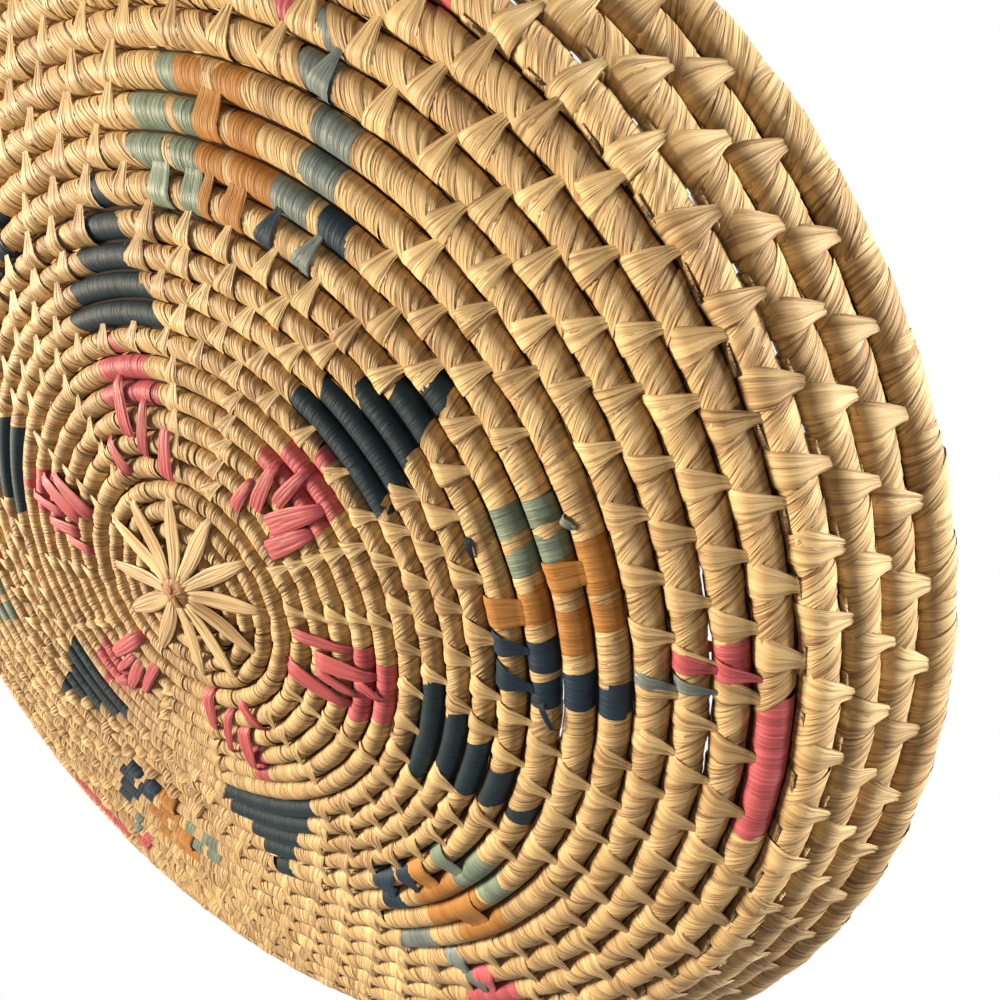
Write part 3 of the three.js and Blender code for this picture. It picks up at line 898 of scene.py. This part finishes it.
FAN_LENGTHS = {
    "centre": (STAR_ROWS, CENTRE_ROWS),
    "base": (CENTRE_ROWS, BASE_ROWS - 1),
    "wall": (BASE_ROWS - 1, RIM_END - 2),
}
for name, (first, last) in FAN_LENGTHS.items():
    for side, face in FACES:
        places = natural_stitches(first + ROW_MIDDLE, last + ROW_MIDDLE, side)
        title = f"{name}_{face}_stitches"
        add_piece(lay_strips(title, places, FANS, STITCH, FAN_TILT, FAN_SPREAD, FAN_SEED))

# %% [markdown]
# ## The grass inside
# Between the wraps the bundle of grass shows as an uneven line, and between two rows the roots of the
# stitches fill the gap. Both are plain tubes along the coil: one through its middle, and a thin one between
# it and the next row. Both are painted dark brown, for the shade deep between the wraps and the rows.
# The bundle starts as a small knot, which closes the middle of the tray.
# Single stems could be modelled, but too little of them shows.

# %% The grass inside
CORE_STEPS = 60
CORE_SHARE = 0.9
CORE_START = -0.5
KNOT_RADIUS = 2.2 * MM
ROOT_START = 0.0
CORE_SIDES = 8
ROOT_RADIUS = 0.9 * MM


def core_tree():
    """A tube along a path, with its own radius at each point."""
    tree = bpy.data.node_groups.new("tube_along_the_coil", "GeometryNodeTree")
    sockets = {"Path": "NodeSocketGeometry", "Sides": "NodeSocketInt", "Finish": "NodeSocketMaterial"}
    add_sockets(tree, "INPUT", sockets)
    add_sockets(tree, "OUTPUT", {"Tube": "NodeSocketGeometry"})
    given = node(tree, "NodeGroupInput").outputs
    path = node(tree, "GeometryNodeMeshToCurve", {"Mesh": given["Path"]}).outputs[0]
    thick = node(tree, "GeometryNodeInputNamedAttribute", {"Name": "thick"}, data_type="FLOAT").outputs[0]
    circle = {"Resolution": given["Sides"], "Radius": 1.0}
    ring = node(tree, "GeometryNodeCurvePrimitiveCircle", circle).outputs[0]
    inputs = {"Curve": path, "Profile Curve": ring, "Scale": thick, "Fill Caps": True}
    tube = node(tree, "GeometryNodeCurveToMesh", inputs).outputs[0]
    solid = node(tree, "GeometryNodeRealizeInstances", {"Geometry": tube}).outputs[0]
    finish = node(tree, "GeometryNodeSetMaterial", {"Geometry": solid, "Material": given["Finish"]})
    node(tree, "NodeGroupOutput", {"Tube": finish.outputs[0]})
    return tree


def path_mesh(turns, points, radius, gaps=()):
    """A line through the points, with the tube's radius on each, that leaves the gaps open."""
    mesh = bpy.data.meshes.new("path")
    broken = [any(start < turn < end for start, end in gaps) for turn in turns]
    steps = [(i, i + 1) for i in range(len(points) - 1) if not (broken[i] or broken[i + 1])]
    mesh.from_pydata(points.tolist(), steps, [])
    thick = mesh.attributes.new("thick", "FLOAT", "POINT")
    thick.data.foreach_set("value", np.zeros(len(points), np.float32) + radius)
    return mesh


TUBE_TREE = core_tree()
# The bundle and the roots share the dark finish that paints the shade in the gaps.
TUBE = {"Sides": CORE_SIDES, "Finish": SHADED_GRASS}
core_turns = np.arange(CORE_START, END_TURN, 1 / CORE_STEPS)
core_radius = np.maximum(girth(core_turns) * CORE_SHARE, KNOT_RADIUS)
core_mesh = path_mesh(core_turns, coil(core_turns)[0], core_radius)
add_piece(run_tree("grass_bundle", core_mesh, TUBE_TREE, TUBE))
root_turns = np.arange(ROOT_START, END_TURN - 1, 1 / CORE_STEPS)
root_points = (coil(root_turns)[0] + coil(root_turns + 1)[0]) / 2
root_mesh = path_mesh(root_turns, root_points, ROOT_RADIUS, LOOSE_EDGES)
add_piece(run_tree("stitch_roots", root_mesh, TUBE_TREE, TUBE))

# %% [markdown]
# ## Dyed wrapping
# A dyed strip is wound straighter than the natural one, in fine even turns. The same tree lays it, with a
# wrap of its own kind, so that the dyed rows follow the coil just as the natural ones do.

# %% Dyed wrapping
DYED_SPACING = 2.4 * MM
DYED_WIDTH = 1.6
DYED_SPREAD = (0.05, 0.002, 0.002)
DYED_TILT = 0.03
DYED_SEED = 3


def dyed_places(spans):
    """Places of dyed wraps that fill each span evenly."""
    turns = []
    widths = []
    for start, end in spans:
        length = (end - start) * 2 * np.pi * float(coil_radius((start + end) / 2))
        count = max(1, round(length / DYED_SPACING))
        turns += [start + (end - start) * (i + 0.5) / count for i in range(count)]
        widths += [length / count * DYED_WIDTH] * count
    return wrap_places(np.array(turns), np.full(len(turns), DYED_WRAP), np.array(widths))


def add_dyed(name, motif, dye, nodes=()):
    """The wraps of one dye in a motif, if it has any."""
    spans = [(start, end) for used, start, end in motif if used == dye]
    if spans:
        piece = lay_strips(name, dyed_places(spans), WRAPS, DYES[dye], DYED_TILT, DYED_SPREAD, DYED_SEED)
        add_piece(piece, nodes)


for i in range(len(PETAL_ANGLES)):
    add_dyed(f"teal_wrapping_{i + 1}", WEDGES[i], "teal", [f"teal_wedge_{i + 1}"])
    add_dyed(f"petal_wrapping_{i + 1}", WEDGES[i], "pink")
    for dye in ("navy", "orange", "sage"):
        add_dyed(f"{dye}_wrapping_{i + 1}", BARS[i], dye, [f"{dye}_bar_{i + 1}"])
    add_dyed(f"slate_wrapping_{i + 1}", BARS[i], "slate")
    add_dyed(f"pink_wrapping_{i + 1}", BARS[i], "pink", [f"pink_band_{i + 1}"])

# %% [markdown]
# ## Dyed stitches
# The first row of each set of bars is natural, and the dyed strips only tie it to the next row.
# A few more dyed ties lead on from the bars to the pink band near the wall.
# They are laid as the natural stitches are, but a little higher, so that they lie over their neighbours.

# %% Dyed stitches
NEAR_TIES = {
    "navy": [(0, -13, -9.5), (0, -8, -4.5)],
    "orange": [(0, -3.5, 0.5), (2, 1, 4.5)],
    "slate": [(4, -9, -7.5), (5, -9, -7.5)],
    "pink": [(5, -7, -5), (6, -7.5, -5.5)],
}
UPPER_TIES = {
    "navy": [(0, -7, -4.4)],
    "orange": [(0, -2, 1), (0, 3, 4.5), (2, 3, 6)],
    "sage": [(0, 4, 7.5), (0, 9, 13)],
    "slate": [(0, -12.7, -10.1), (4, -8, -6)],
}
LOWER_TIES = {
    "navy": [(0, -14, -8), (0, -7, -3)],
    "orange": [(0, -4, 1), (2, -2, 3)],
    "sage": [(0, 4, 7)],
    "slate": [(4, -11, -7), (5, -10, -7)],
    "pink": [(5, -9, -5)],
}
TIE_MOTIFS = [NEAR_TIES, LOWER_TIES, NEAR_TIES, NEAR_TIES, NEAR_TIES, UPPER_TIES]
TIES = [
    tie for motif, angle in zip(TIE_MOTIFS, BAR_ANGLES) for tie in spans_of(motif, BAR_ROW, angle)
]
FAN_TIES = ("navy", "slate", "pink")
STRAP_TIES = ("orange", "sage")
FAN_TIE_SLANT = math.radians(-5)
TIE_LIFT = 1.07
TIE_TILT = 0.06
TIE_SEED = 4
for dye in FAN_TIES + STRAP_TIES:
    strips, slant = (FANS, FAN_TIE_SLANT) if dye in FAN_TIES else (STRAPS, 0.0)
    spans = np.array([(start, end) for used, start, end in TIES if used == dye])
    turn = spans.mean(axis=1)
    width = (spans[:, 1] - spans[:, 0]) * 2 * np.pi * coil_radius(turn)
    for side, face in FACES:
        places = stitch_places(turn, side, width, slant)
        places["size"][:, 2] *= TIE_LIFT
        piece = lay_strips(f"{dye}_{face}_ties", places, strips, DYES[dye], TIE_TILT, FAN_SPREAD, TIE_SEED)
        add_piece(piece)

# %% [markdown]
# ## The star and the petals
# Twelve flat strips lie over the first rows as the rays of a star. They come up together in the middle and
# make a small raised hub there, painted brown for the shade where the strips gather. Each petal is
# four or five flat dyed strips over the rows beyond: they start on different rows, and some of the
# wrapping shows between them.
# They could be bent by hand, but a few heights along a strip are enough to dip its ends between the rows.
# A strip is given by the row and angle of its foot, those of its head, and its width in millimetres.

# %% The star and the petals
RAY_COUNT = 12
LANCE_SPREAD = (0.04, 0.12, 0.1)
STAR_SHIFT = np.array([0.0, -3.0, 0.0]) * MM
RAY_START = 3.0 * MM
RAY_LENGTH = 28.0 * MM
RAY_WIDTH = 5.4 * MM
RAY_TILT = 0.06
HUB_START = 0.2 * MM
HUB_LENGTH = 5.2 * MM
HUB_WIDTH = 2.9 * MM
HUB_TILT = 0.1
STAR_SEED = 5
PETAL_TILT = 0.03
PETAL_SEED = 6
NEAR_PETAL = [
    (4.6, 15.5, 7.8, 15.0, 4.2),
    (5.6, 7.9, 8.6, 9.8, 5.2),
    (5.7, 3.7, 8.3, 2.0, 3.2),
    (4.3, -1.6, 7.9, -2.7, 6.0),
    (7.7, 7.5, 9.2, 4.3, 3.2),
]
UPPER_PETAL = [
    (5.1, 12.2, 7.2, 11.4, 3.8),
    (5.8, 5.7, 8.5, 9.2, 4.2),
    (6.8, 2.4, 9.5, 2.6, 3.6),
    (5.7, 0.5, 8.9, -5.5, 6.2),
    (5.0, -6.5, 8.1, -8.6, 5.4),
]
LEFT_PETAL = [
    (4.4, -9.8, 7.1, -12.0, 4.6),
    (5.3, 1.9, 8.0, -5.6, 3.8),
    (4.7, 12.6, 6.7, 17.2, 3.8),
    (6.1, 6.2, 8.8, 2.8, 5.0),
]
PETALS = [LEFT_PETAL, NEAR_PETAL, UPPER_PETAL, LEFT_PETAL, UPPER_PETAL, NEAR_PETAL]


def spot(row, angle):
    """Place on the underside at a row and an angle, which may lie between two rows of the coil."""
    turn = turn_of(row, angle)
    plan = np.radians(-angle)
    away = np.stack([np.cos(plan), np.sin(plan), 0 * plan], -1)
    level = np.interp(turn + ROW_MIDDLE, ROWS, HEIGHTS) - girth(turn)
    return MIDDLE + away * coil_radius(turn)[..., None] + UP * level[..., None]


def lance_places(start, end, width):
    """Places of flat strips on the underside, each from its start to its end."""
    reach = end - start
    length = np.linalg.norm(reach, axis=-1)
    size = np.stack([length, 0 * length + width, 0 * length + MM], -1)
    return {"at": start, "heading": reach, "facing": np.tile(-UP, (len(length), 1)), "size": size}


def ray_places(first, length, width):
    """Places of strips that run out from the middle of the star."""
    angle = np.arange(RAY_COUNT) * 2 * np.pi / RAY_COUNT
    away = np.stack([np.cos(angle), np.sin(angle), 0 * angle], -1)
    level = UP * float(np.interp(FIRST_ROW, ROWS, HEIGHTS) - girth(START_TURN))
    start = MIDDLE + STAR_SHIFT + level + away * first
    return lance_places(start, start + away * length, width)


def petal_places(petal, middle):
    """Places of the strips of one petal."""
    foot_row, foot_angle, head_row, head_angle, width = np.array(petal).T
    foot = spot(foot_row, middle + foot_angle)
    head = spot(head_row, middle + head_angle)
    return lance_places(foot, head, width * MM)


rays = ray_places(RAY_START, RAY_LENGTH, RAY_WIDTH)
star = lay_strips("star_strips", rays, RAYS, STAR, RAY_TILT, LANCE_SPREAD, STAR_SEED)
add_piece(star, [f"star_strip_{i + 1}" for i in range(RAY_COUNT)])
crown = ray_places(HUB_START, HUB_LENGTH, HUB_WIDTH)
hub = lay_strips("star_hub", crown, HUBS, SHADED_HUB, HUB_TILT, LANCE_SPREAD, STAR_SEED)
add_piece(hub)
for i, middle in enumerate(PETAL_ANGLES):
    places = petal_places(PETALS[i], middle)
    title = f"petal_strips_{i + 1}"
    petal = lay_strips(title, places, LANCES, PETAL, PETAL_TILT, LANCE_SPREAD, PETAL_SEED + i)
    add_piece(petal, [f"pink_petal_{i + 1}"])

# %% [markdown]
# ## Loose ends
# Three dyed strips were not drawn in, and their ends stand out of the gaps between the rows.
# They could be curves with a flat section, but the flat strips of the petals serve here too.
# Each is given by its dye, the row and angle of its two ends, and its width in millimetres.

# %% Loose ends
LOOSE_ENDS = [
    ("navy", (15.97, 1.0), (16.48, -3.2), 1.6),
    ("teal", (14.83, 23.3), (14.71, 19.8), 1.7),
    ("sage", (17.58, 22.9), (17.92, 21.3), 1.7),
]
LOOSE_TILT = 0.0
LOOSE_SEED = 12
for dye, first, last, width in LOOSE_ENDS:
    ends = [spot(np.array([row]), np.array([angle])) for row, angle in (first, last)]
    places = lance_places(*ends, width * MM)
    title = f"loose_{dye}_end"
    piece = lay_strips(title, places, LANCES, DYES[dye], LOOSE_TILT, LANCE_SPREAD, LOOSE_SEED)
    add_piece(piece)

# %% [markdown]
# ## Light and floor
# The underside is lit by a broad warm lamp on the far left, low over the base, so that the side of each row
# that faces it is bright and the other side falls into shade. A lamp on the right lights the wall, and a
# weak one opens the shade. Two lamps above serve the views of the inside.
# The floor shows only from above, and fades out with the distance: from below it is as clear as glass.
# The world is white to look at, and adds a little warm light to the shade.
# A picture of a studio could light the tray too, but a few lamps are easier to place.

# %% Lamps
# Name, direction from the base, distance and size in metres, power in watts, colour
LAMPS = [
    ("key_below", (-0.84, -0.12, -0.46), 1.25, 0.48, 39.0, (255, 238, 212)),
    ("side_below", (1.0, -0.35, 0.1), 0.9, 0.3, 11.5, (250, 246, 240)),
    ("fill_below", (0.7, -0.5, -0.6), 1.2, 1.2, 0.4, (255, 246, 236)),
    ("key_above", (-0.5, -0.6, 0.9), 1.2, 0.8, 12.0, (255, 244, 226)),
    ("fill_above", (0.8, 0.3, 0.7), 1.4, 1.2, 4.0, (246, 248, 255)),
]


def add_lamp(name, direction, distance, size, power, colour):
    """A round lamp that points at the base."""
    data = bpy.data.lights.new(name, "AREA")
    data.shape = "DISK"
    data.size = size
    data.energy = power
    data.color = srgb(*colour)[:3]
    lamp = bpy.data.objects.new(name, data)
    lamp.location = AXIS + Vector(direction).normalized() * distance
    lamp.rotation_euler = (-Vector(direction)).to_track_quat("-Z", "Y").to_euler()
    bpy.context.scene.collection.objects.link(lamp)


for lamp in LAMPS:
    add_lamp(*lamp)
print("lamps:", len(LAMPS))

# %% World
SHADE_LIGHT = 0.15
SHADE_TINT = (255, 232, 204)
WHITE = (255, 255, 255)


def add_world():
    world = bpy.data.worlds.new("studio")
    bpy.context.scene.world = world
    world.use_nodes = True
    tree = world.node_tree
    path = node(tree, "ShaderNodeLightPath").outputs
    seen = math_node(tree, "MAXIMUM", path["Is Camera Ray"], path["Is Glossy Ray"])
    seen = math_node(tree, "MAXIMUM", seen, path["Is Transmission Ray"])
    strength = ranged(tree, seen, 0.0, 1.0, SHADE_LIGHT, 1.0)
    tint = mixed(tree, seen, srgb(*SHADE_TINT), srgb(*WHITE))
    tree.links.new(tint, tree.nodes["Background"].inputs["Color"])
    tree.links.new(strength, tree.nodes["Background"].inputs["Strength"])


add_world()
print("world: light in the shade", SHADE_LIGHT)

# %% Floor
FLOOR_FADE = 0.4
FLOOR_END = 1.2
FLOOR_DROP = 0.2 * MM
FLOOR_SPOTS = {"Scale": 6.0, "Detail": 4.0}
FLOOR_PALE = (244, 243, 240)
FLOOR_DEEP = (236, 234, 230)
FLOOR_ROUGHNESS = 0.8
FLOOR_CORNERS = ((-1, -1), (1, -1), (1, 1), (-1, 1))


def floor_finish():
    material = bpy.data.materials.new("pale_floor")
    material.use_nodes = True
    tree = material.node_tree
    shader = tree.nodes["Principled BSDF"]
    spots = node(tree, "ShaderNodeTexNoise", FLOOR_SPOTS).outputs["Fac"]
    tint = mixed(tree, spots, srgb(*FLOOR_DEEP), srgb(*FLOOR_PALE))
    tree.links.new(tint, shader.inputs["Base Color"])
    shader.inputs["Roughness"].default_value = FLOOR_ROUGHNESS
    camera_ray = node(tree, "ShaderNodeLightPath").outputs["Is Camera Ray"]
    behind = node(tree, "ShaderNodeNewGeometry").outputs["Backfacing"]
    place = node(tree, "ShaderNodeTexCoord").outputs["Object"]
    distance = node(tree, "ShaderNodeVectorMath", {0: place}, operation="LENGTH").outputs["Value"]
    near = ranged(tree, distance, FLOOR_END, FLOOR_FADE)
    above = math_node(tree, "SUBTRACT", camera_ray, behind, clamp=True)
    shown = math_node(tree, "MULTIPLY", above, near)
    clear = node(tree, "ShaderNodeBsdfTransparent").outputs[0]
    mix = node(tree, "ShaderNodeMixShader", {"Fac": shown, 1: clear, 2: shader.outputs[0]})
    tree.links.new(mix.outputs[0], tree.nodes["Material Output"].inputs["Surface"])
    return material


def add_floor():
    corners = [(x * FLOOR_END, y * FLOOR_END, 0) for x, y in FLOOR_CORNERS]
    mesh = bpy.data.meshes.new("floor")
    mesh.from_pydata(corners, [], [(0, 1, 2, 3)])
    mesh.materials.append(floor_finish())
    floor = bpy.data.objects.new("floor", mesh)
    floor.location.z = cad_low.z - FLOOR_DROP
    bpy.context.scene.collection.objects.link(floor)


add_floor()
bpy.context.scene.view_settings.view_transform = "Standard"
print("floor: fades from", FLOOR_FADE, "to", FLOOR_END, "m")
